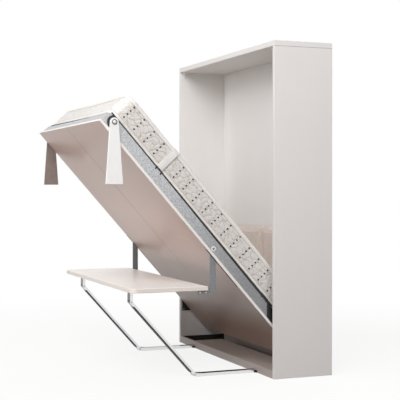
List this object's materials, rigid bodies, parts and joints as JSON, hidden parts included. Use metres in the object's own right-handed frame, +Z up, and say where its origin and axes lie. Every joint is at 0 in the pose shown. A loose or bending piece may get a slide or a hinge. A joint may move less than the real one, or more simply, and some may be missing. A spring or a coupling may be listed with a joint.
{
  "type": "murphy wall bed",
  "caption": "Wall bed that folds into an open cabinet, with a levelling desk on a parallel linkage, plumb support legs, gas struts and a padded headboard.",
  "frame": {"origin": "middle of the cabinet's front edge at floor level", "axes": "+Z up, +Y from the front of the cabinet to the wall, +X to the right seen from the front"},
  "size_m": [1.71, 1.5456, 2.15],
  "materials": {
    "white_laminate": "satin",
    "panel_laminate": "gloss",
    "pale_wood": "satin",
    "plain_wood": "matte",
    "frame_grey": "satin",
    "arm_grey": "satin",
    "black_steel": "satin",
    "bright_steel": "polished",
    "zinc_steel": "satin",
    "white_steel": "satin",
    "black_plastic": "matte",
    "white_plastic": "satin",
    "brass_bush": "satin",
    "ticking": "matte",
    "linen": "matte",
    "webbing": "matte"
  },
  "bodies": {
    "cabinet": {"side_panel_left": "white_laminate", "side_panel_right": "white_laminate", "top_panel": "white_laminate", "back_panel": "white_laminate", "plinth": "white_laminate", "base_board": "white_laminate", "base_bearers": "white_laminate", "wall_rail_lower": "plain_wood", "wall_rail_upper": "plain_wood", "wall_screw_caps": "white_plastic", "catches": "black_plastic", "headboard_cushion_left": "linen", "headboard_cushion_right": "linen", "hinge_plate_left": "black_steel", "hinge_plate_right": "black_steel", "pivot_pins": "zinc_steel", "floor_tube_left": "bright_steel", "floor_tube_right": "bright_steel", "tube_brackets": "black_steel", "link_pins_lower": "zinc_steel", "strut_anchors": "black_steel"},
    "bed": {"pivot_plate_left": "black_steel", "pivot_plate_right": "black_steel", "pivot_bushes": "brass_bush", "front_panel_left": "panel_laminate", "front_panel_right": "panel_laminate", "side_rail_left": "frame_grey", "side_rail_right": "frame_grey", "head_rail": "frame_grey", "foot_rail": "frame_grey", "cross_bars": "frame_grey", "centre_beam": "frame_grey", "slat_holders": "black_plastic", "bed_slats": "plain_wood", "mattress": "ticking", "mattress_strap": "webbing", "strap_clips": "black_plastic", "arm_bolts": "zinc_steel", "leg_brackets": "black_plastic", "leg_bolts": "zinc_steel", "strut_studs": "zinc_steel"},
    "desk": {"desk_top": "pale_wood", "desk_arm_left": "arm_grey", "desk_arm_right": "arm_grey", "desk_post_left": "bright_steel", "desk_post_right": "bright_steel", "link_pins_upper": "zinc_steel"},
    "desk_leg_left": {"desk_leg_left": "bright_steel"},
    "desk_leg_right": {"desk_leg_right": "bright_steel"},
    "support_leg_left": {"support_leg_left": "white_steel"},
    "support_leg_right": {"support_leg_right": "white_steel"},
    "strut_cylinder_left": {"strut_cylinder_left": "black_steel"},
    "strut_cylinder_right": {"strut_cylinder_right": "black_steel"},
    "strut_rod_left": {"strut_rod_left": "bright_steel"},
    "strut_rod_right": {"strut_rod_right": "bright_steel"}
  },
  "joints": [
    {"name": "bed_fold", "type": "hinge", "parent": "cabinet", "child": "bed", "pos_m": [0, 0.04, 0.352], "axis": [1, 0, 0], "range_deg": [-41.4, 48.6], "stiffness_Nm_per_rad": 413, "springref_deg": -83.08},
    {"name": "desk_level", "type": "hinge", "parent": "bed", "child": "desk", "pos_m": [0, -0.38946, 0.83459], "axis": [1, 0, 0], "range_deg": [-48.6, 41.4]},
    {"name": "desk_leg_left_swing", "type": "hinge", "parent": "cabinet", "child": "desk_leg_left", "pos_m": [-0.56, -0.431, 0.014], "axis": [1, 0, 0], "range_deg": [-41.4, 48.6]},
    {"name": "support_leg_left_swing", "type": "hinge", "parent": "bed", "child": "support_leg_left", "pos_m": [-0.8049, -1.0392, 1.61089], "axis": [1, 0, 0], "range_deg": [-48.6, 41.4]},
    {"name": "strut_cylinder_left_turn", "type": "hinge", "parent": "cabinet", "child": "strut_cylinder_left", "pos_m": [-0.812, 0.08836, 0.58729], "axis": [1, 0, 0], "range_deg": [-20.7, 24.3]},
    {"name": "strut_rod_left_turn", "type": "hinge", "parent": "bed", "child": "strut_rod_left", "pos_m": [-0.812, 0.20622, 0.17859], "axis": [1, 0, 0], "range_deg": [-24.3, 20.7]},
    {"name": "desk_leg_right_swing", "type": "hinge", "parent": "cabinet", "child": "desk_leg_right", "pos_m": [0.56, -0.431, 0.014], "axis": [1, 0, 0], "range_deg": [-41.4, 48.6]},
    {"name": "support_leg_right_swing", "type": "hinge", "parent": "bed", "child": "support_leg_right", "pos_m": [0.8049, -1.0392, 1.61089], "axis": [1, 0, 0], "range_deg": [-48.6, 41.4]},
    {"name": "strut_cylinder_right_turn", "type": "hinge", "parent": "cabinet", "child": "strut_cylinder_right", "pos_m": [0.812, 0.08836, 0.58729], "axis": [1, 0, 0], "range_deg": [-20.7, 24.3]},
    {"name": "strut_rod_right_turn", "type": "hinge", "parent": "bed", "child": "strut_rod_right", "pos_m": [0.812, 0.20622, 0.17859], "axis": [1, 0, 0], "range_deg": [-24.3, 20.7]}
  ],
  "couplings": [
    {"joint": "desk_level", "follows": "bed_fold", "ratio": -1},
    {"joint": "desk_leg_left_swing", "follows": "bed_fold", "ratio": 1},
    {"joint": "support_leg_left_swing", "follows": "bed_fold", "ratio": -1},
    {"joint": "strut_cylinder_left_turn", "follows": "bed_fold", "ratio": 0.5},
    {"joint": "strut_rod_left_turn", "follows": "bed_fold", "ratio": -0.5},
    {"joint": "desk_leg_right_swing", "follows": "bed_fold", "ratio": 1},
    {"joint": "support_leg_right_swing", "follows": "bed_fold", "ratio": -1},
    {"joint": "strut_cylinder_right_turn", "follows": "bed_fold", "ratio": 0.5},
    {"joint": "strut_rod_right_turn", "follows": "bed_fold", "ratio": -0.5}
  ]
}
